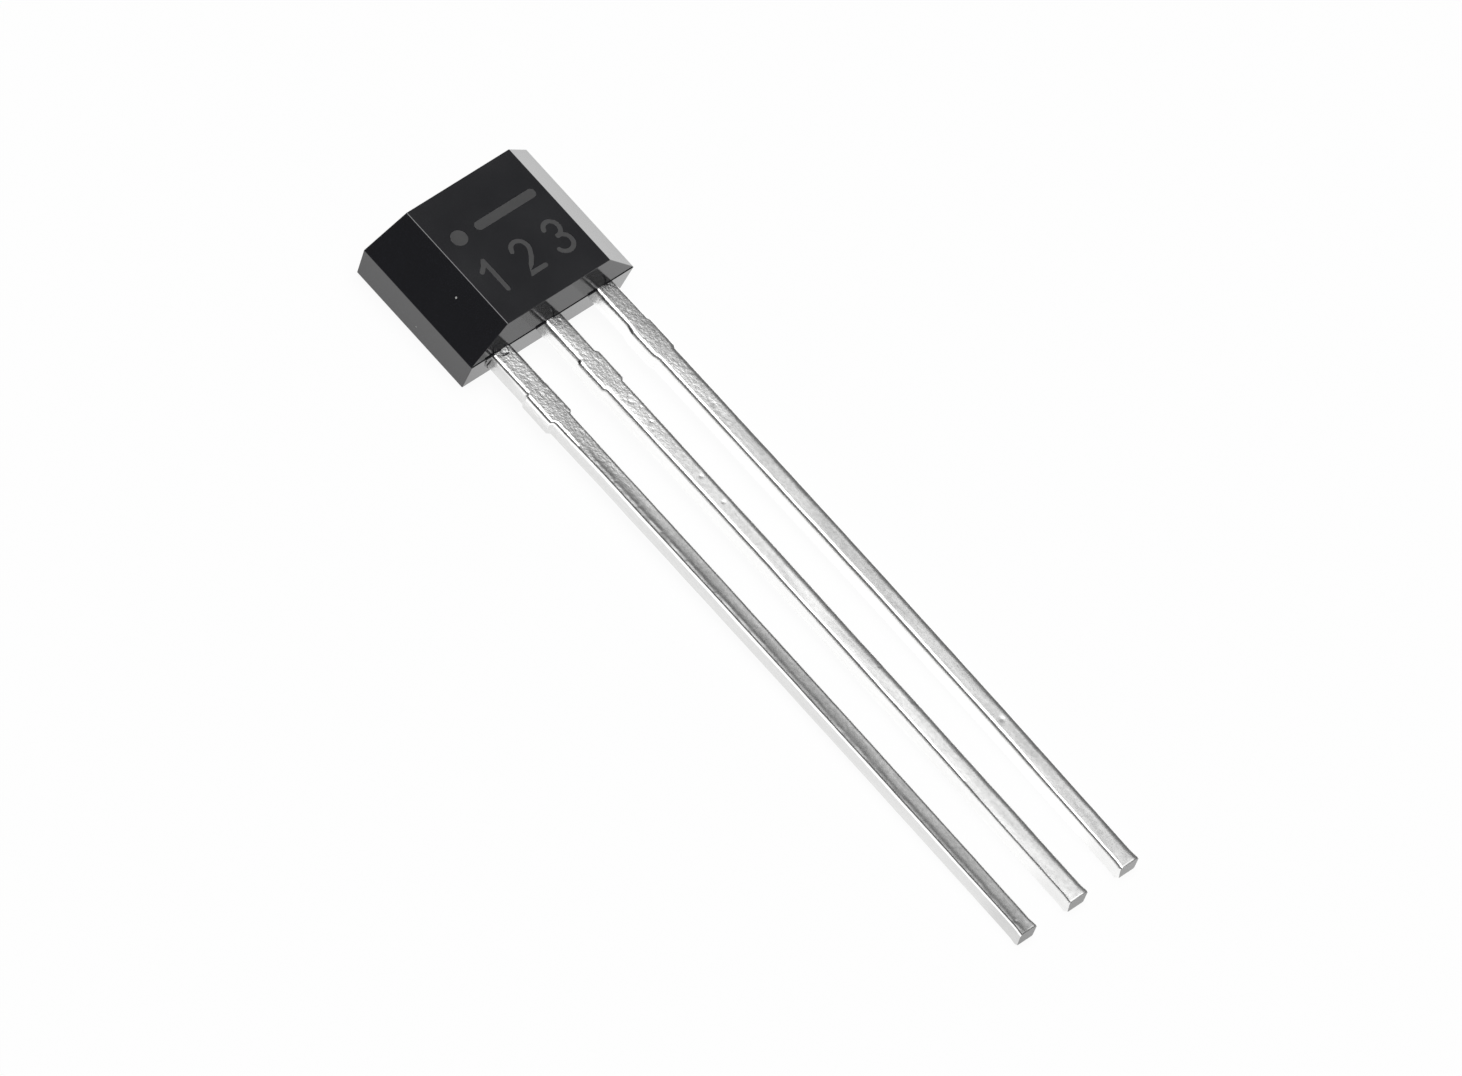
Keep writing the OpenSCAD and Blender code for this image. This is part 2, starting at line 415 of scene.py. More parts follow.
def resin_flash(bm, package, leads):
    """Thin flakes of flash on the lead-side wall, at the left of each lead's exit."""
    for number, (dx, drop) in enumerate(FLAKES):
        edge_x = (number - 1) * leads["pitch"] - leads["width"] / 2
        outer, inner = [], []
        count = 14
        for k in range(count):
            a = math.pi * k / (count - 1)
            wob = 1 + 0.25 * noise.noise(Vector((k * 0.7, number * 3.1, 0.4)))
            x = edge_x + 0.02 - dx + dx * 1.15 * math.cos(a) * wob
            z = package["parting"] + 0.004 - drop * math.sin(a) * wob
            wall = FOOT_Y * (1 - z / package["parting"])
            outer.append(bm.verts.new((x, wall - 0.014, z)))
            inner.append(bm.verts.new((x, wall + 0.03, z)))
        bm.faces.new(outer)
        bm.faces.new(inner[::-1])
        for k in range(count):
            nxt = (k + 1) % count
            bm.faces.new((outer[nxt], outer[k], inner[k], inner[nxt]))


# Beads of resin on the roots of the leads: (x from the lead's middle, distance) along each
BEADS = (((-0.17, -0.02), (-0.14, 0.06), (-0.05, 0.11), (0.05, 0.12), (0.1, 0.08), (0.12, -0.02)),
         ((-0.02, -0.03), (0.06, 0.02), (0.12, 0.09), (0.17, 0.2)),
         ((0.0, -0.03), (0.09, 0.03), (0.14, 0.1), (0.18, 0.18)))
# Places (x, z) along the curl of flash on the lead-side wall
CURL = ((-1.63, 0.67), (-1.58, 0.5), (-1.52, 0.365), (-1.45, 0.265), (-1.36, 0.27))


def bead(bm, places, radius, seed):
    """A thin bead of resin along a curve through the places."""
    fine = []
    for k in range(len(places) - 1):
        before, after = places[max(0, k - 1)], places[min(len(places) - 1, k + 2)]
        a, b = places[k], places[k + 1]
        for f in (0.0, 0.25, 0.5, 0.75):
            bend = ((b - before) * (1 - f) - (after - a) * f) * f * (1 - f) / 2
            fine.append(a.lerp(b, f) + bend)
    fine.append(places[-1])
    rings = []
    for k, p in enumerate(fine):
        way = (fine[min(k + 1, len(fine) - 1)] - fine[max(k - 1, 0)]).normalized()
        side = way.cross(Vector((0.1, -0.3, 1.0))).normalized()
        up = side.cross(way)
        r = radius * (1 + 0.35 * wander(k * 0.7, seed, 12))
        rings.append([bm.verts.new(p + (side * math.cos(a) + up * math.sin(a)) * r)
                      for a in (math.pi * q / 4 for q in range(8))])
    for a, b in zip(rings, rings[1:]):
        for q in range(8):
            bm.faces.new((a[q], a[(q + 1) % 8], b[(q + 1) % 8], b[q]))
    bm.faces.new(rings[0][::-1])
    bm.faces.new(rings[-1])


def resin_beads(bm, package, leads):
    """Beads of resin that bled over the roots of the leads, and a curl of flash beside them."""
    top = package["parting"] + 0.001
    for i, path in enumerate(BEADS):
        bead(bm, [Vector(((i - 1) * leads["pitch"] + x, -s, top)) for x, s in path], 0.01, i)
    bead(bm, [Vector((x, FOOT_Y * (1 - z / package["parting"]) - 0.004, z)) for x, z in CURL],
         0.013, 3)


# ---- Leads ----

def lead_line(i, s, leads):
    """Middle of lead i at distance s, on its slightly bowed line."""
    heading = math.tan(math.radians(EXIT_HEADING[i]))
    return (i - 1) * leads["pitch"] + s * heading - s * s / (2 * BOW_RADIUS[i])


def smoothstep(low, high, value):
    t = min(1.0, max(0.0, (value - low) / (high - low)))
    return t * t * (3 - 2 * t)


# Tables of (distance along the lead, value), one for each lead. The first two say how far its
# left and right sides stand out beyond half its nominal width.
LEFT_SIDE = (
    ((0.95, 0.055), (1.03, 0.1), (1.67, 0.1), (1.75, 0.032), (3.2, 0.02), (5, 0.018),
     (8, 0.01), (14.7, 0.005)),
    ((0.95, 0.025), (1.03, 0.065), (1.67, 0.065), (1.75, 0.017), (5, 0.002), (8, -0.003),
     (11, 0.0), (13, 0.015)),
    ((0.86, 0.015), (1.1, 0.057), (1.6, 0.057), (1.78, 0.016), (5, 0.013), (8, 0.002),
     (11, -0.002), (13, 0.01)))
RIGHT_SIDE = (
    ((0.95, 0.042), (1.03, 0.054), (1.67, 0.054), (1.75, -0.008)),
    ((0.95, 0.02), (1.03, 0.07), (1.67, 0.07), (1.75, 0.021)),
    ((0.95, 0.04), (1.03, 0.074), (1.67, 0.074), (1.75, 0.037)))
# Radii of the top's left corner across and down, and how far round it goes, in degrees,
# before it meets the top
LEFT_ACROSS = (((2.0, 0.08), (2.6, 0.055)), ((2, 0.09), (11, 0.09), (13, 0.06)),
               ((0.8, 0.085), (2.3, 0.095), (11, 0.1), (13, 0.08)))
LEFT_DOWN = (((2.0, 0.08), (3, 0.09), (8, 0.1)), ((2, 0.09), (11, 0.09), (13, 0.06)),
             ((0.8, 0.085), (2.3, 0.095), (11, 0.1), (13, 0.08)))
LEFT_TURN = (((2.0, 84), (2.6, 58)), ((1.0, 84), (2.3, 77), (9, 77), (13, 62)),
             ((1.0, 84), (2.3, 76), (11, 76), (13, 72)))
# Radii of the top's right corner across and down
RIGHT_ACROSS = (((0.9, 0.07), (2, 0.05), (3, 0.06)), ((0.9, 0.06), (2.6, 0.08), (8, 0.115)),
                ((0.9, 0.05), (2.2, 0.11)))
RIGHT_DOWN = (0.05, 0.03, 0.035)
# Roll of the top in degrees, how its slope changes across it, per mm, and the height of
# the ridge that the stamping left along the top's left side
ROLL = (((0, -0.9), (1, -0.6), (3, 0.0), (6, 0.3), (11, 0.7), (14.7, 0.9)),
        ((0, 1.3), (0.7, 0.4), (1.3, 0.2), (2.3, -1.2), (5, -1.6), (8, -1.6), (14.7, -1.3)),
        ((0, 2.6), (0.7, 1.3), (1.3, 0.9), (2.3, -0.6), (6, -0.7), (14.7, -0.6)))
DISH = (((2.3, 0.0), (3.2, 0.2)), ((0.6, -0.15), (1.3, -0.03), (14.7, -0.05)),
        ((0.6, -0.05), (1.2, -0.15), (2.3, -0.04)))
RIDGE = (((2.2, 0.0), (2.8, 0.003), (6, 0.003), (9, 0.002)), ((0, 0.0), (1, 0.0)),
         ((0, 0.0), (1, 0.0)))
# How much of its lower left corner each tip lost to the cut
TIP_LOSS = (0.12, 0.28, 0.36)
# Small dents in the tops: lead, distance, place across, radius and depth
DENTS = ((0, 0.07, 0.0, 0.035, 0.003), (0, 0.09, 0.04, 0.035, 0.003),
         (1, 0.1, 0.07, 0.04, 0.004), (0, 14.42, -0.1, 0.04, 0.004),
         (0, 2.75, -0.11, 0.03, 0.002), (0, 3.3, -0.11, 0.035, 0.0025),
         (0, 3.95, -0.1, 0.03, 0.003), (0, 4.6, -0.11, 0.035, 0.0025),
         (0, 5.3, -0.11, 0.03, 0.0025), (0, 6.1, -0.12, 0.03, 0.002),
         (1, 2.15, 0.0, 0.04, 0.003), (1, 2.7, 0.05, 0.04, 0.004),
         (1, 2.85, -0.03, 0.035, 0.003), (1, 4.1, 0.05, 0.05, 0.003),
         (1, 4.75, 0.03, 0.045, 0.003), (2, 3.05, 0.02, 0.04, 0.002),
         (2, 11.1, 0.03, 0.08, 0.003), (1, 9.0, 0.14, 0.04, 0.004),
         (1, 9.9, 0.15, 0.04, 0.004))


def along(table, s):
    """The value at s in a table of places and values, with smooth steps between them."""
    if s <= table[0][0]:
        return table[0][1]
    for (s0, v0), (s1, v1) in zip(table, table[1:]):
        if s <= s1:
            return v0 + (v1 - v0) * smoothstep(s0, s1, s)
    return table[-1][1]


def wander(s, i, number, scale=1.0):
    """A smooth random value between about -1 and 1 that goes with s."""
    return noise.noise(Vector((s * scale, 7.7 * i + 3.1 * number, 0.4)))


def lead_section(i, s, leads, ripple):
    """Points round lead i at distance s, starting at the left of the top edge."""
    reach = leads["reach"]
    end = smoothstep(reach - TIP_L, reach - 0.02, s)
    left, right = [leads["width"] / 2 + along(table[i], s) + TIP_FLARE * end ** 2
                   + 0.004 * wander(s, i, k, 1.3) + 0.002 * wander(s, i, k + 2, 6.0)
                   for k, table in enumerate((LEFT_SIDE, RIGHT_SIDE))]
    high = leads["thick"] / 2 - TIP_ROLL / 3 * smoothstep(reach - 0.02, reach, s)
    low = -leads["thick"] / 2
    size = 1 + 0.15 * wander(s, i, 5, 1.7)
    lx, lz = along(LEFT_ACROSS[i], s) * size, along(LEFT_DOWN[i], s) * size
    turn = along(LEFT_TURN[i], s)
    turn = min(90.0, turn + 4 * wander(s, i, 6, 7.0))
    size = 1 + 0.15 * wander(s, i, 7, 1.7)
    rx, rz = along(RIGHT_ACROSS[i], s) * size, RIGHT_DOWN[i]
    lift = math.degrees(math.atan(lz / lx * math.tan(math.radians(min(turn, 89.9)))))
    b = 0.03
    corners = ((-left + lx, high - lz * math.sin(math.radians(lift)), lx, lz, 180, 180 - lift),
               (right - rx, high - rz, rx, rz, 90, 0),
               (right - b, low + b, b, b, 0, -90),
               (-left + b, low + b, b, b, -90, -180))
    points = []
    fill = (14, 5, 5, 5)
    for c, (cx, cz, ax, az, start, stop) in enumerate(corners):
        for k in range(9):
            a = math.radians(start + (stop - start) * k / 8)
            points.append((cx + ax * math.cos(a), cz + az * math.sin(a)))
        nx, nz, bx, bz, nstart, _ = corners[(c + 1) % 4]
        a = math.radians(nstart)
        goal = (nx + bx * math.cos(a), nz + bz * math.sin(a))
        here = points[-1]
        for k in range(1, fill[c]):
            f = k / fill[c]
            points.append((here[0] + (goal[0] - here[0]) * f, here[1] + (goal[1] - here[1]) * f))
    free = smoothstep(0.0, 0.6, s) * (1 - end)
    roll = math.sin(math.radians(along(ROLL[i], s)))
    dish = along(DISH[i], s)
    ridge = along(RIDGE[i], s) * (1 + 0.7 * wander(s, i, 8, 6.0))
    ridge_x = -0.113 + 0.012 * wander(s, i, 9, 4.0)
    result = []
    for x, z in points:
        upper = max(0.0, z / high)
        z += upper * (dish * x / 2 - roll) * x
        z += upper * ripple * free * noise.noise(Vector((x * 5, s * 1.1, i * 11)))
        z += upper * ridge * math.exp(-((x - ridge_x) / 0.035) ** 2)
        for lead, place, across, radius, depth in DENTS:
            if lead == i and abs(s - place) < 2 * radius:
                off = math.hypot(s - place, x - across) / radius
                z -= upper * depth * math.exp(-2 * off * off)
        if x < 0:
            cut = smoothstep(reach - 0.08, reach, s) ** 2 * (high - z) / (high - low)
            x *= 1 - TIP_LOSS[i] * cut
        result.append((x, z))
    return result


def lead_mesh(i, package, leads):
    """Lead i from its root inside the package to its sheared tip."""
    bm = bmesh.new()
    middle = package["parting"] - leads["thick"] / 2
    reach = leads["reach"]
    stations = [-0.3, -0.15]
    s = 0.0
    while s < reach - TIP_L:
        stations.append(s)
        fine = (any(abs(s - e) < 0.12 for e in STUB_SPAN)
                or any(d[0] == i and abs(s - d[1]) < 2 * d[3] for d in DENTS))
        s += 0.015 if fine else 0.03
    stations += [reach - TIP_L + TIP_L * k / 14 for k in range(15)]
    loops = []
    for s in stations:
        line = lead_line(i, s, leads)
        loops.append([bm.verts.new((line + x, -s, middle + z))
                      for x, z in lead_section(i, s, leads, leads["ripple"])])
    count = len(loops[0])
    for a, b in zip(loops, loops[1:]):
        for k in range(count):
            bm.faces.new((a[k], a[(k + 1) % count], b[(k + 1) % count], b[k]))
    bm.faces.new(loops[0][::-1])
    centre = sum((v.co for v in loops[-1]), Vector()) / count
    ring = loops[-1]
    for shrink, bulge in ((0.965, 0.008), (0.8, 0.012), (0.5, 0.013), (0.2, 0.013)):
        nxt = []
        for v in loops[-1]:
            p = centre + (v.co - centre) * shrink
            p.y -= bulge * 0.4 - 0.006 * noise.noise(p * 9 + Vector((0, 0, i * 3)))
            p.y = max(p.y, -reach)
            nxt.append(bm.verts.new(p))
        for k in range(count):
            bm.faces.new((ring[k], ring[(k + 1) % count], nxt[(k + 1) % count], nxt[k]))
        ring = nxt
    bm.faces.new(ring)
    return bm


def plate(bm, low, high, edge=0.02):
    """A stamped plate with broken edges."""
    made = bmesh.ops.create_cube(bm, size=1.0)
    for v in made["verts"]:
        v.co = Vector([(low[k] + high[k]) / 2 + v.co[k] * (high[k] - low[k]) for k in range(3)])
    edges = {e for v in made["verts"] for e in v.link_edges}
    bmesh.ops.bevel(bm, geom=list(edges), offset=edge, segments=2, profile=0.5,
                    affect='EDGES')


def frame_inside(bm, i, package, leads):
    """The bonding post of an outer lead, or the middle lead's paddle and tie bar."""
    top = package["parting"]
    low = top - leads["thick"]
    x = (i - 1) * leads["pitch"]
    if i == 1:
        plate(bm, (-0.24, 0.2, low), (0.24, 0.56, top))
        plate(bm, (-0.7, 0.55, low), (0.7, 2.35, top))
        end = package["long"] + GATE_PROUD + TIE_BAR_PROUD
        plate(bm, (-TIE_BAR_W / 2, 2.34, low), (TIE_BAR_W / 2, end, top), 0.015)
    else:
        shift = x + (i - 1) * 0.02
        plate(bm, (x - 0.24, 0.2, low), (x + 0.24, 0.46, top))
        plate(bm, (shift - 0.31, 0.45, low), (shift + 0.31, 1.75, top))


# ---- Materials ----

class Nodes:
    """Short ways to add and link shader nodes in one material."""

    def __init__(self, name):
        self.material = bpy.data.materials.new(name)
        self.material.use_nodes = True
        self.tree = self.material.node_tree
        self.tree.nodes.clear()
        self.out = self.add('ShaderNodeOutputMaterial')
        self.surface = self.add('ShaderNodeBsdfPrincipled')
        self.link(self.surface.outputs[0], self.out.inputs["Surface"])

    def add(self, kind, **values):
        node = self.tree.nodes.new(kind)
        for key, value in values.items():
            setattr(node, key, value)
        return node

    def link(self, start, end):
        self.tree.links.new(start, end)

    def set(self, **values):
        for key, value in values.items():
            self.surface.inputs[key.replace("_", " ")].default_value = value

    def place(self, scale):
        """Object coordinates in mm, stretched by scale."""
        where = self.add('ShaderNodeTexCoord')
        mapping = self.add('ShaderNodeMapping')
        mapping.inputs["Scale"].default_value = [1000.0 * s for s in scale]
        self.link(where.outputs["Object"], mapping.inputs["Vector"])
        return mapping.outputs["Vector"]

    def noise(self, scale, detail=2.0, roughness=0.5):
        node = self.add('ShaderNodeTexNoise')
        node.inputs["Scale"].default_value = 1.0
        node.inputs["Detail"].default_value = detail
        node.inputs["Roughness"].default_value = roughness
        self.link(self.place(scale), node.inputs["Vector"])
        return node.outputs["Fac"]

    def specks(self, scale, radius):
        """One at the middle of some cells, zero elsewhere."""
        node = self.add('ShaderNodeTexVoronoi')
        node.inputs["Scale"].default_value = 1.0
        self.link(self.place(scale), node.inputs["Vector"])
        return self.ramp(node.outputs["Distance"], radius, 1.0, radius * 1.6, 0.0)

    def ramp(self, value, low, low_to, high, high_to):
        node = self.add('ShaderNodeMapRange')
        node.inputs["From Min"].default_value = low
        node.inputs["From Max"].default_value = high
        node.inputs["To Min"].default_value = low_to
        node.inputs["To Max"].default_value = high_to
        self.link(value, node.inputs["Value"])
        return node.outputs["Result"]

    def math(self, operation, first, second):
        node = self.add('ShaderNodeMath', operation=operation)
        for socket, value in zip(node.inputs, (first, second)):
            if isinstance(value, (int, float)):
                socket.default_value = value
            else:
                self.link(value, socket)
        return node.outputs[0]

    def mix(self, factor, first, second):
        node = self.add('ShaderNodeMix', data_type='RGBA')
        self.link(factor, node.inputs[0])
        for socket, value in ((node.inputs[6], first), (node.inputs[7], second)):
            if isinstance(value, tuple):
                socket.default_value = value
            else:
                self.link(value, socket)
        return node.outputs[2]

    def bump(self, height, strength, distance):
        node = self.add('ShaderNodeBump')
        node.inputs["Strength"].default_value = strength
        node.inputs["Distance"].default_value = distance
        self.link(height, node.inputs["Height"])
        self.link(node.outputs["Normal"], self.surface.inputs["Normal"])


def shaded(rgb, factor):
    return tuple(c * factor for c in rgb) + (1.0,)


def resin_material(name, rgb, ior):
    """Black moulding compound: glossy, with a faint grain and a few specks of dust."""
    n = Nodes(name)
    n.set(IOR=ior)
    grain = n.noise((6.0, 6.0, 6.0), 4.0, 0.6)
    cloud = n.noise((0.8, 0.8, 0.8), 3.0)
    base = n.mix(cloud, shaded(rgb, 0.85), shaded(rgb, 1.15))
    dust = n.specks((1.9, 1.9, 1.9), 0.028)
    n.link(n.mix(dust, base, (0.45, 0.45, 0.44, 1.0)), n.surface.inputs["Base Color"])
    n.link(n.ramp(cloud, 0.3, 0.09, 0.7, 0.16), n.surface.inputs["Roughness"])
    n.bump(grain, 0.12, 0.000002)
    return n.material


def marking_material(rgb):
    """Lasered marking: the frosted floor of a very shallow groove."""
    n = Nodes("laser_marking")
    n.set(IOR=1.5)
    grain = n.noise((28.0, 28.0, 28.0), 3.0, 0.7)
    patch = n.noise((3.0, 3.0, 3.0), 2.0)
    shade_ = n.math('ADD', n.math('MULTIPLY', grain, 0.6), n.math('MULTIPLY', patch, 0.4))
    n.link(n.mix(shade_, shaded(rgb, 0.75), shaded(rgb, 1.25)), n.surface.inputs["Base Color"])
    n.link(n.ramp(grain, 0.2, 0.5, 0.8, 0.75), n.surface.inputs["Roughness"])
    n.bump(grain, 0.4, 0.000004)
    return n.material


def tin_material(name, rgb, roughness):
    """Bright tin plating: mottled near the package, with fine streaks along the lead."""
    n = Nodes(name)
    n.set(Metallic=1.0, IOR=1.5)
    mottle = n.noise((16.0, 12.0, 16.0), 3.0, 0.55)
    streaks = n.noise((14.0, 0.5, 14.0), 2.0, 0.5)
    where = n.add('ShaderNodeTexCoord')
    split = n.add('ShaderNodeSeparateXYZ')
    n.link(where.outputs["Object"], split.inputs[0])
    near = n.ramp(split.outputs["Y"], -0.006, 0.1, -0.0035, 2.4)
    grain = n.math('MULTIPLY', mottle, near)
    tone = n.ramp(n.math('ADD', mottle, streaks), 0.7, 0.0, 1.3, 1.0)
    n.link(n.mix(tone, shaded(rgb, 0.93), shaded(rgb, 1.0)), n.surface.inputs["Base Color"])
    n.link(n.ramp(mottle, 0.3, roughness - 0.02, 0.7, roughness + 0.03),
           n.surface.inputs["Roughness"])
    n.bump(n.math('ADD', n.math('MULTIPLY', streaks, 0.15), grain), 1.0, 0.000002)
    return n.material


def shear_material(rgb):
    """The sheared end of a lead: coarser and darker than the plating."""
    n = Nodes("sheared_metal")
    n.set(Metallic=1.0)
    lines = n.noise((34.0, 34.0, 5.0), 4.0, 0.7)
    n.link(n.mix(lines, shaded(rgb, 0.28), shaded(rgb, 0.45)), n.surface.inputs["Base Color"])
    n.link(n.ramp(lines, 0.2, 0.4, 0.8, 0.6), n.surface.inputs["Roughness"])
    n.bump(lines, 0.5, 0.000006)
    return n.material


def inner_material(name, rgb, metallic, roughness, scale):
    """Finish of a piece inside the package: colour, grain and roughness from one noise."""
    n = Nodes(name)
    n.set(Metallic=metallic)
    grain = n.noise(scale, 4.0, 0.6)
    n.link(n.mix(grain, shaded(rgb, 0.8), shaded(rgb, 1.15)), n.surface.inputs["Base Color"])
    n.link(n.ramp(grain, 0.3, roughness * 0.8, 0.7, roughness * 1.2),
           n.surface.inputs["Roughness"])
    n.bump(grain, 0.2, 0.000003)
    return n.material


def dress(node, material):
    """Gives a CAD node a material in all its slots."""
    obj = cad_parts[node]
    if not obj.material_slots:
        obj.data.materials.append(material)
    for slot in obj.material_slots:
        slot.material = material


# ---- Operators ----

class SENSOR_OT_package(bpy.types.Operator):
    """Add the moulded package with its marking, pin mark and gate scar"""
    bl_idname = "sensor.package"
    bl_label = "Package"

    def execute(self, context):
        package = millimetres(context.scene.sensor_package)
        leads = millimetres(context.scene.sensor_leads)
        finishes = context.scene.sensor_finishes
        mesh = softened(package_shell(package), "package", package["edge"], 4)
        bm = bmesh.new()
        bm.from_mesh(mesh)
        bmesh.ops.remove_doubles(bm, verts=bm.verts, dist=0.0001)
        gate_scar(bm, package)
        resin_flash(bm, package, leads)
        resin_beads(bm, package, leads)
        bmesh.ops.recalc_face_normals(bm, faces=bm.faces)
        bm.to_mesh(mesh)
        bm.free()
        for polygon in mesh.polygons:
            if polygon.normal.y < -0.99 and polygon.center.z > package["parting"] + 0.02:
                polygon.material_index = 2
        shade(mesh, 32)
        mesh = flat_faces_first(mesh)
        add_piece("package", mesh, "epoxy",
                  [resin_material("moulding_resin", finishes.resin, 1.7),
                   marking_material(finishes.marking),
                   resin_material("moulding_resin_insert", finishes.resin, 1.45)],
                  "moulded_body")
        return {'FINISHED'}


class SENSOR_OT_leads(bpy.types.Operator):
    """Add the three stamped leads with their stubs and sheared tips"""
    bl_idname = "sensor.leads"
    bl_label = "Leads"

    def execute(self, context):
        package = millimetres(context.scene.sensor_package)
        leads = millimetres(context.scene.sensor_leads)
        rgb = context.scene.sensor_finishes.tin
        shear = shear_material(rgb)
        # The supply lead gets a copy of the tin darkened to 0.88 of its colour: painted shade
        tins = [tin_material("tin_supply_painted_shade", [c * 0.88 for c in rgb], 0.2),
                tin_material("tin_ground", rgb, 0.24),
                tin_material("tin_output", rgb, 0.24)]
        for i, node in enumerate(("supply_lead", "ground_lead", "output_lead")):
            bm = lead_mesh(i, package, leads)
            frame_inside(bm, i, package, leads)
            bmesh.ops.recalc_face_normals(bm, faces=bm.faces)
            for face in bm.faces:
                if face.normal.y < -0.8 and face.calc_center_median().y < -leads["reach"] + 0.03:
                    face.material_index = 1
                if face.normal.y > 0.8 and face.calc_center_median().y > package["long"]:
                    face.material_index = 1
            mesh = bpy.data.meshes.new(node + "_plated")
            bm.to_mesh(mesh)
            bm.free()
            shade(mesh, 28)
            add_piece(node + "_plated", mesh, "tin_plate", [tins[i], shear], node)
        return {'FINISHED'}


class SENSOR_OT_inner_pieces(bpy.types.Operator):
    """Finish the die, its adhesive and the bond wires inside the package"""
    bl_idname = "sensor.inner_pieces"
    bl_label = "Inner pieces"

    def execute(self, context):
        finishes = context.scene.sensor_finishes
        silicon = inner_material("silicon", finishes.silicon, 0.0, 0.2, (3, 3, 3))
        adhesive = inner_material("die_adhesive", finishes.adhesive, 0.0, 0.6, (20, 20, 20))
        gold = inner_material("gold_wire", finishes.gold, 1.0, 0.25, (30, 30, 30))
        dress("sensor_die", silicon)
        dress("die_attach", adhesive)
        for node in ("supply_wire", "ground_wire", "output_wire"):
            dress(node, gold)
        return {'FINISHED'}


def floor_material(rgb):
    """A white floor that the camera sees evenly lit, with soft shadows, and that reflections see
    with painted light and shade.
    """
    n = Nodes("floor")
    grain = n.noise((0.05, 0.05, 0.05), 3.0)
    n.link(n.mix(grain, shaded(rgb, 0.99), shaded(rgb, 1.0)), n.surface.inputs["Base Color"])
    n.set(Roughness=0.9)
    n.surface.inputs["Specular IOR Level"].default_value = 0.0
    glow = n.add('ShaderNodeEmission')
    glow.inputs["Color"].default_value = (1.0, 1.0, 1.0, 1.0)
    path = n.add('ShaderNodeLightPath')
    where = n.add('ShaderNodeTexCoord')
    split = n.add('ShaderNodeSeparateXYZ')
    n.link(where.outputs["Object"], split.inputs[0])
    # Painted light and shade in the floor's reflections, by X: brighter far left, a painted
    # shadow just left of the first lead, and painted light rising to the right
    painted_reflection_ramp = n.add('ShaderNodeValToRGB')
    n.link(n.ramp(split.outputs["X"], -0.006, 0.0, 0.004, 1.0), painted_reflection_ramp.inputs[0])
    levels = ((0.0, 1.15), (0.25, 1.1), (0.4, 0.9), (0.5, 1.08), (0.65, 1.1), (1.0, 1.5))
    # Painted highlight in reflections: a brighter patch of floor left of the package, in front of
    # it
    beside = n.math('MULTIPLY', n.ramp(split.outputs["X"], -0.0021, 0.6, -0.0019, 0.0),
                    n.ramp(split.outputs["Y"], -0.0022, 1.0, -0.0018, 0.0))
    # Painted shadow in reflections: the floor past the lead tips is darker
    beyond = n.ramp(split.outputs["Y"], -0.0156, 0.13, -0.0151, 0.0)
    painted_patches = n.math('SUBTRACT', beside, beyond)
    elements = painted_reflection_ramp.color_ramp.elements
    while len(elements) < len(levels):
        elements.new(0.5)
    for element, (place, level) in zip(elements, levels):
        element.position = place
        element.color = (level / 1.5, level / 1.5, level / 1.5, 1.0)
    mirrored = n.math('MAXIMUM', path.outputs["Is Glossy Ray"],
                      path.outputs["Is Transmission Ray"])
    strength = n.math('ADD', path.outputs["Is Camera Ray"],
                      n.math('MULTIPLY', mirrored, n.math('ADD', painted_patches,
                             n.math('MULTIPLY', painted_reflection_ramp.outputs[0], 1.5))))
    n.link(strength, glow.inputs["Strength"])
    share = n.math('ADD', n.math('MULTIPLY', path.outputs["Is Camera Ray"], 0.93),
                   n.math('MULTIPLY', mirrored, 0.97))
    blend = n.add('ShaderNodeMixShader')
    n.link(share, blend.inputs[0])
    n.link(n.surface.outputs[0], blend.inputs[1])
    n.link(glow.outputs[0], blend.inputs[2])
    n.link(blend.outputs[0], n.out.inputs["Surface"])
    return n.material


def studio_world(room, glow):
    """White to the camera; to everything else a dim room with a pale band at the horizon
    and one broad soft light overhead."""
    world = bpy.data.worlds.new("studio")
    world.use_nodes = True
    tree = world.node_tree
    tree.nodes.clear()
    out = tree.nodes.new('ShaderNodeOutputWorld')
    background = tree.nodes.new('ShaderNodeBackground')
    where = tree.nodes.new('ShaderNodeTexCoord')
    split = tree.nodes.new('ShaderNodeSeparateXYZ')
    ramp = tree.nodes.new('ShaderNodeValToRGB')
    path = tree.nodes.new('ShaderNodeLightPath')
    scale = tree.nodes.new('ShaderNodeMix')
    scale.data_type = 'RGBA'
    scale.blend_type = 'MULTIPLY'
    scale.inputs[0].default_value = 1.0
    scale.inputs[7].default_value = (glow, glow, glow, 1.0)
    mix = tree.nodes.new('ShaderNodeMix')
    mix.data_type = 'RGBA'
    mix.inputs[7].default_value = (1.0, 1.0, 1.0, 1.0)
    levels = ((0.0, 1.0), (0.08, 0.8), (0.2, 0.4), (0.32, room), (0.6, room), (0.75, room * 1.3),
              (0.82, 0.2), (0.865, 0.65), (0.905, 1.7), (0.945, glow * 0.85), (1.0, glow))
    elements = ramp.color_ramp.elements
    while len(elements) < len(levels):
        elements.new(0.5)
    for element, (position, level) in zip(elements, levels):
        element.position = position
        element.color = (level / glow, level / glow, level / glow, 1.0)
    links = tree.links
    links.new(where.outputs["Generated"], split.inputs[0])
    links.new(split.outputs["Z"], ramp.inputs[0])
    links.new(ramp.outputs[0], scale.inputs[6])
    links.new(path.outputs["Is Camera Ray"], mix.inputs[0])
    links.new(scale.outputs[2], mix.inputs[6])
    links.new(mix.outputs[2], background.inputs["Color"])
    links.new(background.outputs[0], out.inputs["Surface"])
    bpy.context.scene.world = world


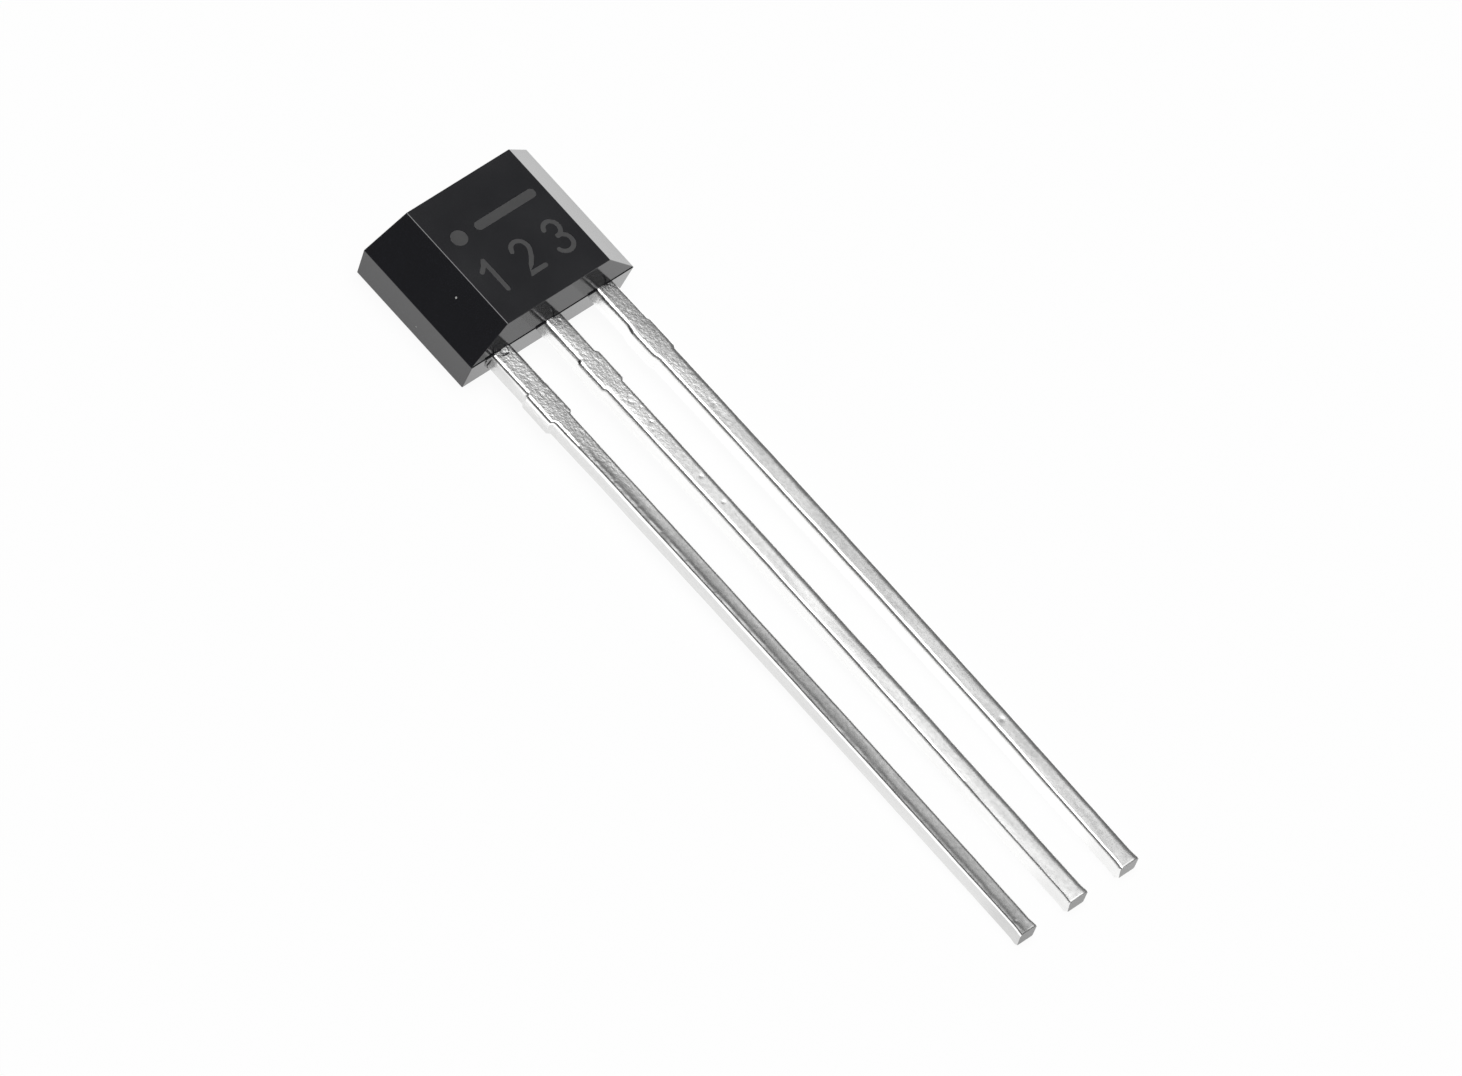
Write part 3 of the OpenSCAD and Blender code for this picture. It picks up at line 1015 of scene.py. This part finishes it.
class SENSOR_OT_stage(bpy.types.Operator):
    """Add the floor, the soft light of the world and the camera"""
    bl_idname = "sensor.stage"
    bl_label = "Stage"

    def execute(self, context):
        scene = context.scene
        settings = scene.sensor_stage
        bm = bmesh.new()
        bmesh.ops.create_circle(bm, cap_ends=True, cap_tris=False, segments=96,
                                 radius=FLOOR_RADIUS)
        mesh = bpy.data.meshes.new("floor")
        bm.to_mesh(mesh)
        bm.free()
        mesh.materials.append(floor_material(settings.floor))
        floor = bpy.data.objects.new("floor", mesh)
        floor.location = (0, 0, -FLOOR_DROP)
        scene.collection.objects.link(floor)
        studio_world(settings.room, settings.glow)
        data = bpy.data.cameras.new("camera")
        data.lens = CAMERA_LENS
        data.sensor_width = 36.0
        data.clip_start = 0.01
        data.clip_end = 20.0
        camera = bpy.data.objects.new("camera", data)
        scene.collection.objects.link(camera)
        aim = Vector(CAMERA_AIM_MM) * MM
        camera.location = Vector(CAMERA_PLACE_MM) * MM
        back = (camera.location - aim).normalized()
        level = Vector((0, 0, 1)).cross(back).normalized()
        roll = math.radians(CAMERA_ROLL)
        right = level * math.cos(roll) + back.cross(level) * math.sin(roll)
        up = back.cross(right)
        camera.rotation_euler = Matrix((right, up, back)).transposed().to_euler()
        scene.camera = camera
        scene.view_settings.view_transform = 'Standard'
        return {'FINISHED'}


class SENSOR_PT_panel(bpy.types.Panel):
    """Lists the sensor's pieces and settings"""
    bl_label = "Hall effect sensor"
    bl_idname = "SENSOR_PT_panel"
    bl_space_type = 'VIEW_3D'
    bl_region_type = 'UI'
    bl_category = "Hall sensor"

    def draw(self, context):
        layout = self.layout
        for operator in PIECES:
            layout.operator(operator.bl_idname)
        for title, group in (("Package", context.scene.sensor_package),
                             ("Leads", context.scene.sensor_leads),
                             ("Finishes", context.scene.sensor_finishes),
                             ("Stage", context.scene.sensor_stage)):
            box = layout.box()
            box.label(text=title)
            for key in group.__annotations__:
                box.prop(group, key)


PIECES = (SENSOR_OT_package, SENSOR_OT_leads, SENSOR_OT_inner_pieces, SENSOR_OT_stage)
GROUPS = (("sensor_package", PackageSizes), ("sensor_leads", LeadSizes),
          ("sensor_finishes", Finishes), ("sensor_stage", StageSettings))


def register():
    for _, group in GROUPS:
        bpy.utils.register_class(group)
    for cls in PIECES + (SENSOR_PT_panel,):
        bpy.utils.register_class(cls)
    for name, group in GROUPS:
        setattr(bpy.types.Scene, name, PointerProperty(type=group))


def unregister():
    for name, _ in GROUPS:
        delattr(bpy.types.Scene, name)
    for cls in (SENSOR_PT_panel,) + PIECES:
        bpy.utils.unregister_class(cls)
    for _, group in reversed(GROUPS):
        bpy.utils.unregister_class(group)


def main():
    register()
    bpy.ops.sensor.package()
    bpy.ops.sensor.leads()
    bpy.ops.sensor.inner_pieces()
    bpy.ops.sensor.stage()


if __name__ == "__main__":
    main()
